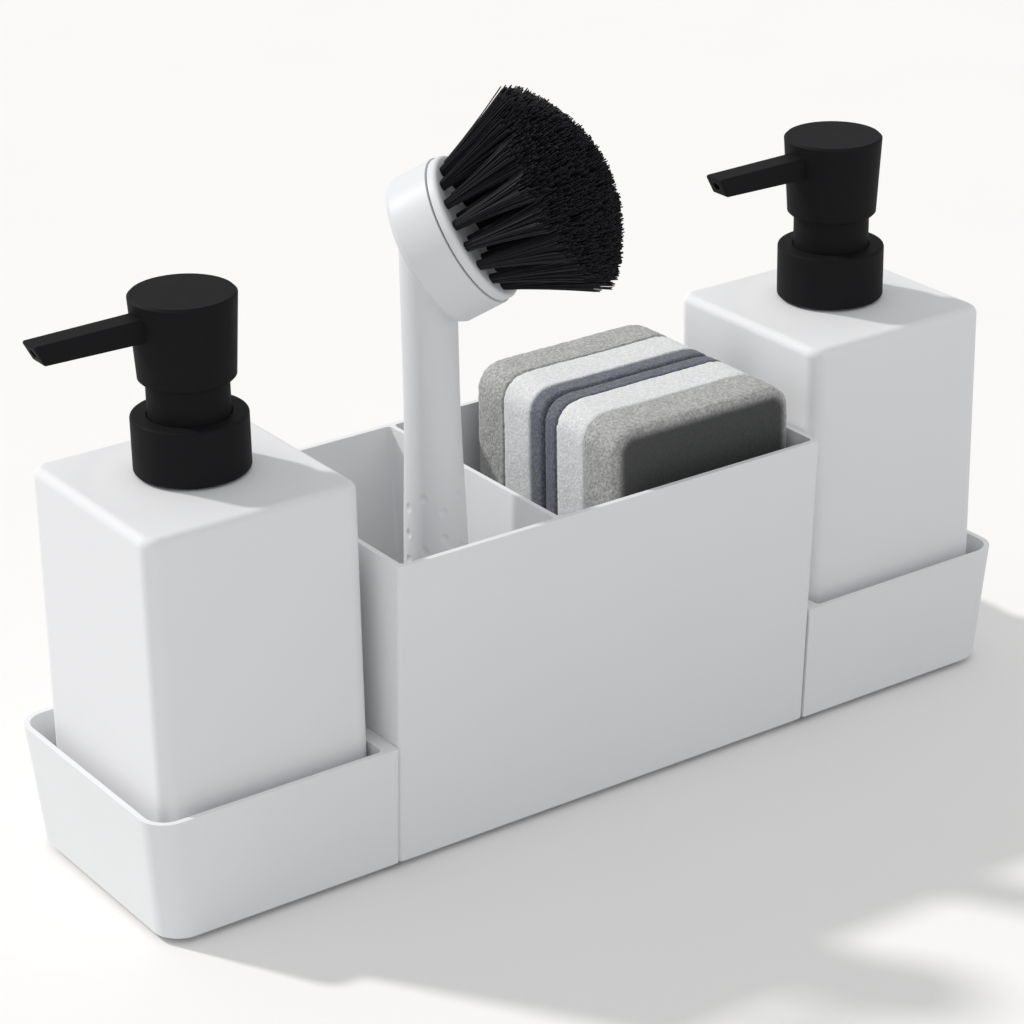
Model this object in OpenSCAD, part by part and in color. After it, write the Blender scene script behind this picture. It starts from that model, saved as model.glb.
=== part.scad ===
// Sink-side caddy: a tall box with two wells between two low trays that hook onto it.
// Each tray holds a square pump bottle, and the box holds a round dish brush and two
// layered foam sponges.
// Origin: middle of the box's flat underside. The anti-slip pads reach a little below it.
// X runs to the right, Y to the back and Z up. All lengths are in millimetres.

/* [Box] */
// Length of the box along X
box_l = 160; // [140:1:190]
// Height of the box rim above its underside
box_h = 102.4; // [86:0.2:122]
// Slope of the front and back walls, in degrees
wall_slope = 3.3; // [1:0.1:5]
// Thickness of the moulded walls
wall_t = 1.8; // [1.4:0.1:2.4]
// Thickness of the moulded floors
floor_t = 2; // [1.4:0.1:3]
// Rounding of the upright outer corners of the box
box_corner_r = 1.6; // [1:0.1:3]
// How far the divider stands to the left of the middle of the box
divider_off = 21.9; // [15:0.1:26]
// Thickness of the divider between the two wells
divider_t = 1.6; // [1.2:0.1:2.4]
// Rounding along the lower edges of the box and trays
base_edge_r = 0.9; // [0.5:0.1:1.6]

/* [Trays] */
// Height of the tray rims above their underside
tray_h = 41.1; // [34:0.1:58]
// Slope of each tray's outer end wall, in degrees
end_slope = 4.8; // [0.5:0.1:6]
// Rounding of the outer upright corners of each tray
tray_corner_r = 9; // [6:0.5:12]
// Space between a bottle and its tray's inner end wall
bottle_gap_in = 0.6; // [0.4:0.1:2]
// Space between a bottle and its tray's outer end wall, at the floor
bottle_gap_out = 1.6; // [1:0.1:3]
// Space between a bottle and its tray's front wall, at the floor
bottle_gap_front = 2.2; // [1.5:0.1:4]
// Space between a bottle and its tray's back wall, at the floor
bottle_gap_back = 6.2; // [5:0.1:9]
// Width of the seam between a tray's long walls and the box
seam_gap = 0.4; // [0.3:0.1:1]

/* [Hooks] */
// Running space between the hooked faces of a tray and the box
hook_gap = 0.3; // [0.2:0.05:0.5]
// Thickness of the two upright hook lips
hook_lip_t = 1.15; // [0.9:0.05:1.6]
// Height by which the two hook lips pass each other
hook_lip_h = 3; // [2:0.1:5]
// Thickness of the rim flange that bridges the seam
hook_flange_t = 2.4; // [1.8:0.1:3.5]
// Thickness of the ledge on the box wall
hook_ledge_t = 1.6; // [1.2:0.1:2.4]
// Space between each end of a hook and the tray's long walls
hook_end_gap = 1; // [0.6:0.1:3]

/* [Feet] */
// Diameter of the anti-slip pads
foot_d = 12; // [8:0.5:16]
// How far the pads stand out below the mouldings
foot_drop = 1.5; // [1:0.1:2.5]
// Depth of the pocket that each pad sits in
foot_seat = 0.8; // [0.4:0.1:1]
// Distance of the pads' middles from the walls
foot_inset = 12; // [9.6:0.5:16]

/* [Bottles] */
// Width of each bottle along X
bottle_w = 71.8; // [62:0.2:84]
// Depth of each bottle along Y
bottle_d = 71.8; // [62:0.2:84]
// Height of each bottle up to the edge of its shoulder
bottle_h = 125.8; // [105:0.2:150]
// How much higher the shoulder is at the neck than at its edge
bottle_crown = 1.6; // [0.8:0.1:2.4]
// Wall thickness of the bottles
bottle_wall = 1.8; // [1.4:0.1:2.4]
// Rounding of the upright bottle edges
bottle_corner_r = 5.2; // [4.2:0.2:9]
// Rounding round the bottle's shoulder
bottle_shoulder_r = 3; // [2.6:0.1:4]
// Rounding round the bottle's base
bottle_base_r = 2.8; // [2.5:0.1:4]

/* [Closure] */
// Outer diameter of the bottle neck
neck_d = 27.2; // [25:0.1:33]
// Wall thickness of the bottle neck
neck_wall = 2.7; // [2.2:0.1:3.2]
// Space between the neck and the screw collar
thread_gap = 0.3; // [0.2:0.05:0.5]
// Wall thickness of the screw collar
collar_wall = 3.6; // [2.8:0.1:4.4]
// Height of the screw collar
collar_h = 17.5; // [15:0.5:21]
// Thickness of the collar's top plate
collar_plate_t = 1.6; // [1.2:0.1:2.2]
// Space under the collar when it is tight
collar_lift = 0.5; // [0.3:0.1:1]
// Thickness of the sealing ring
gasket_t = 1; // [0.8:0.1:1.5]
// Thickness of the flanges that the collar clamps
flange_t = 1; // [0.8:0.1:1.4]

/* [Pump] */
// Travel of the pump head
stroke = 10; // [8:0.5:12]
// Space left under the pump head when it is pressed right down
stop_gap = 0.9; // [0.6:0.1:1.5]
// How much smaller the guide boss is than the neck, on each side
boss_step = 1.25; // [1:0.05:1.6]
// Wall thickness of the guide boss
boss_wall = 1.6; // [1.2:0.1:2]
// How far the guide boss reaches up into the head at rest
boss_lap = 2; // [1.5:0.1:3]
// Space between the guide boss and the head round it
boss_gap = 0.3; // [0.2:0.05:0.5]
// Outer diameter of the pump cylinder
cylinder_d = 15; // [12.4:0.1:17.9]
// Wall thickness of the pump cylinder
cylinder_wall = 1.1; // [0.9:0.05:1.4]
// Length of the pump cylinder below the foot of the neck
cylinder_l = 32; // [28:1:40]
// Outer diameter of the hollow stem
stem_d = 8; // [6.6:0.1:9.6]
// Bore of the hollow stem
stem_bore = 4.4; // [3.6:0.1:5.3]
// Running space round the stem and the piston, on each side
run_gap = 0.06; // [0.04:0.01:0.08]
// Space between pieces that are pushed onto each other, on each side
push_gap = 0.05; // [0.03:0.01:0.08]
// Height of the piston
piston_h = 8; // [6.5:0.5:9.6]
// Space between the piston and the guide boss's tube at rest
piston_gap = 0.3; // [0.2:0.05:0.5]
// Wire diameter of the return spring
spring_wire = 0.9; // [0.7:0.05:1.1]
// Number of turns of the return spring
spring_turns = 7; // [5:1:8]
// Diameter of the inlet ball
ball_d = 4.8; // [4:0.1:5.8]
// Outer diameter of the dip tube
tube_d = 6; // [5:0.1:7.2]
// Bore of the dip tube
tube_bore = 4.2; // [3.5:0.1:4.6]
// Space between the dip tube and the bottle's floor
tube_floor_gap = 3; // [2:0.5:6]

/* [Pump head] */
// Wall thickness of the head's skirt
head_wall = 1.9; // [1.5:0.1:2.4]
// How much wider the head is at its top than at its base, on each side
head_flare = 1.45; // [0:0.05:3]
// Height of the pump head
head_h = 26.1; // [24:0.1:32]
// Rounding of the head's top and bottom edges
head_edge_r = 0.7; // [0.4:0.1:1.2]
// Depth of the stem's socket in the head
stem_grip = 4; // [3:0.1:4.6]
// Reach of the nozzle tip from the middle of the head
nozzle_reach = 49.5; // [41:0.5:59]
// Height of the nozzle at its tip
nozzle_h = 6.4; // [5.4:0.1:7.6]
// Height of the nozzle where it leaves the head
nozzle_root_h = 7.8; // [6.6:0.1:9.2]
// Width of the nozzle
nozzle_w = 8; // [6.7:0.1:9.5]
// Distance from the head's top down to the nozzle's top
nozzle_drop = 4.6; // [3.8:0.1:5.5]
// How far the cut tip slants back towards its lower edge
nozzle_cut = 2.6; // [1:0.1:3.2]
// Diameter of the channel in the nozzle
channel_d = 2.6; // [2:0.1:3.2]

/* [Brush] */
// Diameter of the brush handle at its neck
handle_neck_d = 17.2; // [14.4:0.2:20.4]
// Diameter of the brush handle at its grip
handle_grip_d = 20.4; // [17:0.2:24]
// Space between the handle and the divider
handle_gap = 9.6; // [6:0.2:14]
// How far the handle stands in front of the middle of the box
handle_front = 10; // [0:0.5:14]
// Height of the middle of the cup's back, above the box floor
cup_height = 179.6; // [158:0.2:200]
// Lean of the brush head from upright, in degrees
cup_tilt = 60; // [45:1:70]
// Turn of the brush head about the upright, in degrees
cup_turn = -45; // [-60:1:0]
// Diameter of the brush cup
cup_d = 47.6; // [42:0.2:56]
// Depth of the brush cup
cup_t = 14.6; // [12.4:0.2:17]
// Wall thickness of the brush cup
cup_wall = 2.2; // [1.8:0.1:3]
// Width of the groove between the cup and the bristle plate
groove_w = 0.5; // [0.4:0.05:0.8]
// Thickness of the bristle plate's rim
plate_t = 2.9; // [2.4:0.1:3.8]
// Depth of the plate's plug inside the cup
plug_h = 6; // [4:0.5:8]
// Distance of the outer tufts' middles from the edge of the plate's face
tuft_inset = 2.1; // [1.8:0.1:5]
// Radius of one tuft at its root
tuft_r = 1.4; // [1.2:0.05:1.6]
// Length of the bristles at the middle of the head
bristle_l = 42.5; // [34:0.5:51]
// How much shorter the outermost bristles are
bristle_crown = 15; // [8:0.5:18]
// How far the outermost bristles spread beyond their roots
bristle_spread = 10; // [8:0.1:12]
// Sideways lean of the bristle tips towards the ground
bristle_lean = 1.2; // [0:0.1:4]
// Radius of a bristle at its root
strand_r = 0.3; // [0.2:0.01:0.35]
// Radius of a bristle at its tip
strand_tip_r = 0.5; // [0.3:0.01:0.6]

/* [Sponges] */
// Width of each sponge along X
sponge_w = 70.5; // [58:0.5:84]
// Height of each sponge
sponge_h = 118; // [98:1:138]
// Thickness of the grey scouring layer
grey_t = 15.6; // [12:0.1:18.6]
// Thickness of the white foam layer
white_t = 15.2; // [12:0.1:18.2]
// Thickness of the slate-coloured layer
slate_t = 6.9; // [5:0.1:8.3]
// Rounding of the sponge corners
sponge_corner_r = 8.5; // [6:0.5:12]
// Space between the two sponges
sponge_gap = 0.3; // [0.2:0.1:0.6]
// Space between the sponges and the box's right wall
sponge_side_gap = 2.3; // [1.5:0.1:4]
// Least space between the sponges and the front and back walls
sponge_end_gap = 1.6; // [1:0.1:3]

/* [Hidden] */

white_plastic = [0.93, 0.93, 0.94];
black_plastic = [0.13, 0.13, 0.14];

// One overrun serves every cut, and one thin slice every lofted outline
overrun = wall_t / 2;
skin = wall_t / 90;
skin_fn = 32;
$fn = 64;

// Depths shared by the box and the trays
bottle_need = bottle_d + bottle_gap_front + bottle_gap_back;
sponge_t = grey_t + white_t + slate_t;
sponge_need = 2 * sponge_t + sponge_gap + 2 * sponge_end_gap;
well_d = max(bottle_need, sponge_need);
function wall_lean(rise) = rise * tan(wall_slope);
base_half_d = well_d / 2 + wall_t - wall_lean(floor_t);
function half_depth(z) = base_half_d + wall_lean(z);

// Hook between tray and box, counted outwards from the box's side wall
side_x = box_l / 2;
lip_x = side_x + hook_gap;
ledge_lip_x = lip_x + hook_lip_t + hook_gap;
tray_wall_x = ledge_lip_x + hook_lip_t + hook_gap;
flange_z = tray_h - hook_flange_t;
ledge_top_z = flange_z - hook_lip_h - hook_gap;
hook_half = base_half_d - wall_t - hook_end_gap;

// Tray length follows the bottle
tray_in_x = tray_wall_x + wall_t;
bottle_x = tray_in_x + bottle_gap_in + bottle_w / 2;
bottle_y = -well_d / 2 + bottle_gap_front + bottle_d / 2;
tray_end_x = tray_in_x + bottle_gap_in + bottle_w + bottle_gap_out + wall_t;

// Heights of the pump, counted from the foot of the bottle's neck
neck_foot_z = floor_t + bottle_h + bottle_crown;
neck_r = neck_d / 2;
neck_bore_r = neck_r - neck_wall;
collar_top = collar_lift + collar_h;
guide_seat = collar_top - collar_plate_t - flange_t;
body_seat = guide_seat - flange_t;
neck_h = body_seat - gasket_t;
flange_r = neck_r;
collar_bore_r = neck_r + thread_gap;
collar_r = collar_bore_r + collar_wall;
boss_r = neck_r - boss_step;
head_base = collar_top + stop_gap + stroke;
head_top = head_base + head_h;
boss_top = head_base + boss_lap;
head_ceiling = boss_top + stroke + stop_gap;
stem_top = head_ceiling + stem_grip;
stem_r = stem_d / 2;
bore_r = cylinder_d / 2 - cylinder_wall;
guide_foot = guide_seat / 2;
piston_top = guide_foot - piston_gap;
piston_foot = piston_top - piston_h;
ball_r = ball_d / 2;
seat_r = 0.8 * ball_r;
ball_room = ball_r * 1.35;
cage_h = ball_d * 1.12;
cage_foot = -cylinder_l - cage_h;
seat_lip = cylinder_wall * 1.4;
nipple_top = cage_foot - seat_lip;
nipple_l = tube_d * 1.8;
nipple_r = tube_d / 2 + push_gap + cylinder_wall;
tube_foot = -bottle_crown - bottle_h + bottle_wall + tube_floor_gap;
spring_r = bore_r - spring_wire * 1.5;
spring_foot = -cylinder_l + spring_wire * 0.55;
spring_top = piston_foot - spring_wire * 0.55;
head_base_r = boss_r + boss_gap + head_wall;
head_top_r = head_base_r + head_flare;
nozzle_top = head_top - nozzle_drop;
channel_z = nozzle_top - nozzle_h / 2;

// Brush
handle_x = -divider_off - divider_t / 2 - handle_gap - handle_grip_d / 2;
handle_foot_r = handle_grip_d / 5;
// Where the grip begins to narrow and where the neck is reached, as shares of the cup's height
grip_share = 0.4;
neck_share = 0.76;
handle_steps = 10;
dimple_r = handle_grip_d / 7;
dimple_depth = dimple_r * 0.16;
dimple_columns = 10;
dimple_rows = 6;
dimple_pitch = handle_grip_d * 0.42;
dimple_top_share = 0.575;
cup_r = cup_d / 2;
cup_edge_r = cup_wall * 0.9;
plug_r = cup_r - cup_wall - push_gap;
plate_edge_r = plate_t * 0.45;
bristle_slice = plate_t * 0.2;
plate_r = cup_r - groove_w;
tuft_ring_r = plate_r - plate_edge_r - tuft_inset;
backing_r = tuft_ring_r + tuft_inset * 0.9;
// Tuft rings: how many tufts, and the ring's radius as a share of the outer ring
tuft_counts = [1, 7, 12, 18];
tuft_ring_shares = [0, 0.4, 0.7, 1];
// Strands of a tuft: how many, and their distance from its middle as a share of its radius
strand_counts = [3, 8];
strand_ring_shares = [0.34, 0.8];
strand_sides = 3;
// How much of the gap between tufts the splayed tips fill
splay_share = 0.88;

// Sponges
sponge_x = side_x - wall_t - sponge_side_gap - sponge_w;

// Upright block with sloping long walls: four rounded corner posts at three heights.
// x0 and x1 are its ends, r0 and r1 their corner radii, and inset draws its long walls in.
module sloped_block(x0, x1, z0, z1, r0, r1, inset, edge_r, slope) {
    hull()
        for (level = [[z0, edge_r], [z0 + edge_r, 0], [z1 - skin, 0]], side = [-1, 1]) {
            half = half_depth(level[0]) - inset - level[1];
            end = x1 + level[0] * tan(slope) - level[1];
            translate([x0 + level[1] + r0, side * (half - r0), level[0]])
                cylinder(r = r0, h = skin, $fn = skin_fn);
            translate([end - r1, side * (half - r1), level[0]])
                cylinder(r = r1, h = skin, $fn = skin_fn);
        }
}

// Bar with sloping long faces, between two heights
module sloped_bar(x0, x1, z0, z1, inset) {
    translate([x0, 0, 0])
        rotate([90, 0, 90])
            linear_extrude(height = x1 - x0)
                polygon([
                    [-half_depth(z0) + inset, z0], [half_depth(z0) - inset, z0],
                    [half_depth(z1) - inset, z1], [-half_depth(z1) + inset, z1]
                ]);
}

// Places of four pads under a moulding that reaches from x0 to x1
module at_feet(x0, x1) {
    for (x = [x0 + foot_inset, x1 - foot_inset], side = [-1, 1])
        translate([x, side * (base_half_d - foot_inset), 0])
            children();
}

module foot_pockets(x0, x1) {
    at_feet(x0, x1)
        translate([0, 0, -overrun])
            cylinder(d = foot_d + 2 * push_gap, h = foot_seat + overrun);
}

module foot_pads(x0, x1) {
    pad_edge = foot_drop / 3;
    at_feet(x0, x1)
        translate([0, 0, -foot_drop]) {
            translate([0, 0, pad_edge])
                cylinder(d = foot_d, h = foot_drop + foot_seat - pad_edge);
            cylinder(d1 = foot_d - 2 * pad_edge, d2 = foot_d, h = pad_edge);
        }
}

// Upward-facing hook on one side wall of the box: a ledge with a lip along its edge
module box_hook() {
    translate([side_x - overrun, -hook_half, ledge_top_z - hook_ledge_t])
        cube([overrun + ledge_lip_x + hook_lip_t - side_x, 2 * hook_half, hook_ledge_t]);
    translate([ledge_lip_x, -hook_half, ledge_top_z - hook_ledge_t])
        cube([hook_lip_t, 2 * hook_half, hook_ledge_t + hook_lip_h]);
}

module box_well(x0, x1) {
    sloped_block(x0, x1, floor_t, box_h + overrun, box_corner_r, box_corner_r,
        wall_t, base_edge_r, 0);
}

module centre_box() {
    color(white_plastic) {
        difference() {
            sloped_block(-side_x, side_x, 0, box_h, box_corner_r, box_corner_r,
                0, base_edge_r, 0);
            box_well(-side_x + wall_t, -divider_off - divider_t / 2);
            box_well(-divider_off + divider_t / 2, side_x - wall_t);
            foot_pockets(-side_x, side_x);
        }
        box_hook();
        mirror([1, 0, 0]) box_hook();
    }
}

module box_feet() {
    color(white_plastic) foot_pads(-side_x, side_x);
}

// Tray to the right of the box: a tub whose rim flange reaches over the seam and hooks down
module tray() {
    color(white_plastic) {
        difference() {
            sloped_block(side_x + hook_gap / 2, tray_end_x, 0, tray_h,
                box_corner_r / 4, tray_corner_r, 0, base_edge_r, end_slope);
            sloped_block(tray_in_x, tray_end_x - wall_t, floor_t, tray_h + overrun,
                box_corner_r, tray_corner_r - wall_t, wall_t, base_edge_r, end_slope);
            sloped_bar(side_x - overrun, tray_wall_x, -overrun, flange_z, wall_t);
            sloped_bar(side_x - overrun, side_x + seam_gap, -overrun, flange_z, -overrun);
            foot_pockets(tray_wall_x, tray_end_x);
        }
        translate([lip_x, -hook_half, flange_z - hook_lip_h])
            cube([hook_lip_t, 2 * hook_half, hook_lip_h + hook_flange_t / 2]);
    }
}

module tray_feet() {
    color(white_plastic) foot_pads(tray_wall_x, tray_end_x);
}

module on_left() {
    mirror([1, 0, 0]) children();
}

module left_tray() { on_left() tray(); }
module left_tray_feet() { on_left() tray_feet(); }
module right_tray() { tray(); }
module right_tray_feet() { tray_feet(); }

// Share that leaves 0 and reaches 1 without a bend
function smooth(t) = t * t * (3 - 2 * t);

// Upright outline, its middle on the axis, with rounded lower and upper corners
module side_profile(w, h, base_r, top_r) {
    translate([-w / 2 + base_r, 0]) square([w - 2 * base_r, h / 2]);
    translate([-w / 2, base_r]) square([w, h - base_r - top_r]);
    translate([-w / 2 + top_r, h / 2]) square([w - 2 * top_r, h / 2]);
    for (side = [-1, 1]) {
        translate([side * (w / 2 - base_r), base_r]) circle(r = base_r);
        translate([side * (w / 2 - top_r), h - top_r]) circle(r = top_r);
    }
}

// Block with rounded upright edges, base and shoulder: four revolved corner posts and
// two crossing slabs
module bottle_form(w, d, h, r, base_r, top_r) {
    for (x = [-1, 1], y = [-1, 1])
        translate([x * (w / 2 - r), y * (d / 2 - r), 0])
            rotate_extrude()
                intersection() {
                    side_profile(2 * r, h, base_r, top_r);
                    square([r, h]);
                }
    translate([-w / 2 + r, 0, 0])
        rotate([90, 0, 90])
            linear_extrude(height = w - 2 * r) side_profile(d, h, base_r, top_r);
    translate([0, d / 2 - r, 0])
        rotate([90, 0, 0])
            linear_extrude(height = d - 2 * r) side_profile(w, h, base_r, top_r);
}

// Low crown of the shoulder: it rises in a soft curve from the shoulder's edge to the neck
module shoulder_crown() {
    crown_steps = 8;
    rim_r = min(bottle_w, bottle_d) / 2 - bottle_shoulder_r;
    rotate_extrude()
        polygon(concat(
            [[0, -bottle_wall], [rim_r, -bottle_wall]],
            [for (i = [0:crown_steps])
                [rim_r + (neck_r - rim_r) * i / crown_steps,
                    bottle_crown * smooth(i / crown_steps)]],
            [[0, bottle_crown]]
        ));
}

// Blow-moulded bottle with an open neck, standing at its own middle, the neck's foot at zero
module bottle() {
    base_z = -bottle_crown - bottle_h;
    color(white_plastic)
        difference() {
            union() {
                translate([0, 0, base_z])
                    bottle_form(bottle_w, bottle_d, bottle_h, bottle_corner_r,
                        bottle_base_r, bottle_shoulder_r);
                translate([0, 0, -bottle_crown])
                    shoulder_crown();
                translate([0, 0, -bottle_wall])
                    cylinder(r = neck_r, h = neck_h + bottle_wall);
            }
            translate([0, 0, base_z + bottle_wall])
                bottle_form(bottle_w - 2 * bottle_wall, bottle_d - 2 * bottle_wall,
                    bottle_h - 2 * bottle_wall, bottle_corner_r - bottle_wall,
                    bottle_base_r - bottle_wall, bottle_shoulder_r - bottle_wall);
            translate([0, 0, -bottle_crown - 2 * bottle_wall])
                cylinder(r = neck_bore_r,
                    h = bottle_crown + neck_h + 2 * bottle_wall + overrun);
        }
}

// Screw collar: a ring with a top plate that clamps the pump's flanges onto the neck
module collar() {
    edge = collar_plate_t / 3;
    hole_r = boss_r + boss_gap / 2;
    color(black_plastic)
        rotate_extrude()
            polygon([
                [collar_bore_r, collar_lift], [collar_r - edge, collar_lift],
                [collar_r, collar_lift + edge], [collar_r, collar_top - edge],
                [collar_r - edge, collar_top], [hole_r, collar_top],
                [hole_r, collar_top - collar_plate_t],
                [collar_bore_r, collar_top - collar_plate_t]
            ]);
}

module gasket() {
    color("gainsboro")
        rotate_extrude()
            polygon([
                [neck_bore_r, neck_h], [flange_r, neck_h],
                [flange_r, body_seat], [neck_bore_r, body_seat]
            ]);
}

// Pump cylinder: flange, straight bore, ball cage with its seat, and a nipple for the dip tube
module pump_body() {
    outer_r = bore_r + cylinder_wall;
    passage_r = seat_r;
    tube_r = tube_d / 2 + push_gap;
    color("ghostwhite")
        rotate_extrude()
            polygon([
                [bore_r, guide_seat], [flange_r, guide_seat], [flange_r, body_seat],
                [outer_r, body_seat], [outer_r, -cylinder_l], [nipple_r, cage_foot],
                [nipple_r, nipple_top - nipple_l], [tube_r, nipple_top - nipple_l],
                [tube_r, nipple_top], [passage_r, nipple_top], [passage_r, cage_foot],
                [ball_room, cage_foot + ball_room - passage_r], [ball_room, -cylinder_l],
                [bore_r, -cylinder_l]
            ]);
}

// Guide boss: an upturned cup that carries the tube in which the stem slides
module stem_guide() {
    edge = boss_wall / 3;
    tube_r = bore_r - push_gap;
    hole_r = stem_r + run_gap;
    color(black_plastic)
        rotate_extrude()
            polygon([
                [hole_r, guide_foot], [tube_r, guide_foot], [tube_r, boss_top - boss_wall],
                [boss_r - boss_wall, boss_top - boss_wall], [boss_r - boss_wall, guide_seat],
                [flange_r, guide_seat], [flange_r, guide_seat + flange_t],
                [boss_r, guide_seat + flange_t], [boss_r, boss_top - edge],
                [boss_r - edge, boss_top], [hole_r, boss_top]
            ]);
}

module stem() {
    color("ghostwhite")
        translate([0, 0, piston_foot])
            difference() {
                cylinder(r = stem_r, h = stem_top - piston_foot);
                translate([0, 0, -overrun])
                    cylinder(d = stem_bore, h = stem_top - piston_foot + 2 * overrun);
            }
}

// Piston with two wiping lips and a waist between them, pushed onto the stem's foot
module piston() {
    lip_r = bore_r - run_gap;
    waist_r = (lip_r + stem_r) / 2;
    lip_h = piston_h / 4;
    color("lightsteelblue")
        rotate_extrude()
            polygon([
                [stem_r + push_gap, piston_foot], [lip_r, piston_foot],
                [lip_r, piston_foot + lip_h], [waist_r, piston_foot + lip_h * 1.5],
                [waist_r, piston_top - lip_h * 1.5], [lip_r, piston_top - lip_h],
                [lip_r, piston_top], [stem_r + push_gap, piston_top]
            ]);
}

module inlet_ball() {
    seat_height = sqrt(ball_r * ball_r - seat_r * seat_r);
    color("silver")
        translate([0, 0, cage_foot + seat_height + push_gap])
            sphere(r = ball_r);
}

module dip_tube() {
    top = nipple_top - push_gap;
    color("ghostwhite")
        translate([0, 0, tube_foot])
            difference() {
                cylinder(d = tube_d, h = top - tube_foot);
                translate([0, 0, -overrun])
                    cylinder(d = tube_bore, h = top - tube_foot + 2 * overrun);
            }
}

// Tube of six-sided rings through a list of points, each ring square to its path
module swept_tube(points, radius) {
    sides = 6;
    last = len(points) - 1;
    function along(i) = points[min(i + 1, last)] - points[max(i - 1, 0)];
    function unit(v) = v / norm(v);
    function across(i) = unit(cross(along(i), [0, 0, 1]));
    function upward(i) = unit(cross(across(i), along(i)));
    rings = [
        for (i = [0:last], k = [0:sides - 1])
            points[i] + radius * (cos(360 * k / sides) * across(i)
                + sin(360 * k / sides) * upward(i))
    ];
    skin_faces = [
        for (i = [0:last - 1], k = [0:sides - 1])
            let (a = i * sides + k, b = i * sides + (k + 1) % sides)
                each [[a, a + sides, b], [b, a + sides, b + sides]]
    ];
    caps = [
        for (k = [1:sides - 2])
            each [[0, k, k + 1], [last * sides, last * sides + k + 1, last * sides + k]]
    ];
    polyhedron(points = rings, faces = concat(skin_faces, caps));
}

// Return spring: one helix from the cylinder's ledge up to the piston
module spring() {
    curl_steps = 8;
    count = spring_turns * curl_steps;
    rise = spring_top - spring_foot;
    color("silver")
        swept_tube([
            for (i = [0:count])
                [spring_r * cos(360 * i / curl_steps), spring_r * sin(360 * i / curl_steps),
                    spring_foot + rise * i / count]
        ], spring_wire / 2);
}

// Nozzle: a tapering beam towards -X, cut on a slant at its tip
module nozzle() {
    root_top = nozzle_top + (nozzle_root_h - nozzle_h) / 2;
    hull()
        for (side = [-1, 1]) {
            half = side * (nozzle_w / 2 - head_edge_r);
            translate([-nozzle_reach + head_edge_r, half, nozzle_top - head_edge_r])
                sphere(r = head_edge_r, $fn = skin_fn / 2);
            translate([-nozzle_reach + nozzle_cut + head_edge_r, half,
                    nozzle_top - nozzle_h + head_edge_r])
                sphere(r = head_edge_r, $fn = skin_fn / 2);
            translate([0, half, root_top - nozzle_root_h + head_edge_r])
                sphere(r = head_edge_r, $fn = skin_fn / 2);
            translate([0, half, root_top - head_edge_r])
                sphere(r = head_edge_r, $fn = skin_fn / 2);
        }
}

module pump_head() {
    edge = head_edge_r;
    color(black_plastic)
        difference() {
            union() {
                rotate_extrude()
                    polygon([
                        [0, head_base], [head_base_r - edge, head_base],
                        [head_base_r, head_base + edge], [head_top_r, head_top - edge],
                        [head_top_r - edge, head_top], [0, head_top]
                    ]);
                nozzle();
            }
            translate([0, 0, head_base - overrun])
                cylinder(r = boss_r + boss_gap, h = head_ceiling - head_base + overrun);
            translate([0, 0, head_ceiling - overrun])
                cylinder(r = stem_r + push_gap, h = stem_grip + overrun);
            translate([0, 0, stem_top - overrun])
                cylinder(d = stem_bore, h = channel_z + channel_d / 2 - stem_top + overrun);
            translate([0, 0, channel_z])
                rotate([0, -90, 0])
                    cylinder(d = channel_d, h = nozzle_reach + overrun);
        }
}

// Places of the two pumps: a side of -1 is the left one. The nozzles point the same way.
module at_pump(side) {
    translate([side * bottle_x, bottle_y, neck_foot_z]) children();
}

module left_bottle() { at_pump(-1) bottle(); }
module left_collar() { at_pump(-1) collar(); }
module left_gasket() { at_pump(-1) gasket(); }
module left_pump_body() { at_pump(-1) pump_body(); }
module left_stem_guide() { at_pump(-1) stem_guide(); }
module left_spring() { at_pump(-1) spring(); }
module left_stem() { at_pump(-1) stem(); }
module left_piston() { at_pump(-1) piston(); }
module left_inlet_ball() { at_pump(-1) inlet_ball(); }
module left_dip_tube() { at_pump(-1) dip_tube(); }
module left_pump_head() { at_pump(-1) pump_head(); }
module right_bottle() { at_pump(1) bottle(); }
module right_collar() { at_pump(1) collar(); }
module right_gasket() { at_pump(1) gasket(); }
module right_pump_body() { at_pump(1) pump_body(); }
module right_stem_guide() { at_pump(1) stem_guide(); }
module right_spring() { at_pump(1) spring(); }
module right_stem() { at_pump(1) stem(); }
module right_piston() { at_pump(1) piston(); }
module right_inlet_ball() { at_pump(1) inlet_ball(); }
module right_dip_tube() { at_pump(1) dip_tube(); }
module right_pump_head() { at_pump(1) pump_head(); }

// Brush handle and cup, in one moulding
function neck_part(share) =
    smooth(min(1, max(0, (share - grip_share) / (neck_share - grip_share))));
function handle_radius(share) =
    (handle_grip_d + (handle_neck_d - handle_grip_d) * neck_part(share)) / 2;

module at_handle() {
    translate([handle_x, -handle_front, floor_t]) children();
}

module at_cup() {
    at_handle()
        translate([0, 0, cup_height])
            rotate([0, cup_tilt, cup_turn])
                children();
}

module handle_stick() {
    arc_steps = 4;
    top = cup_height + handle_neck_d * tan(cup_tilt) / 2 + cup_wall;
    rotate_extrude()
        polygon(concat(
            [[0, 0]],
            [for (i = [0:arc_steps])
                [handle_grip_d / 2 - handle_foot_r * (1 - sin(90 * i / arc_steps)),
                    handle_foot_r * (1 - cos(90 * i / arc_steps))]],
            [for (i = [0:handle_steps])
                let (share = grip_share + (neck_share - grip_share) * i / handle_steps)
                    [handle_radius(share), share * cup_height]],
            [[handle_neck_d / 2, top], [0, top]]
        ));
}

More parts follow.
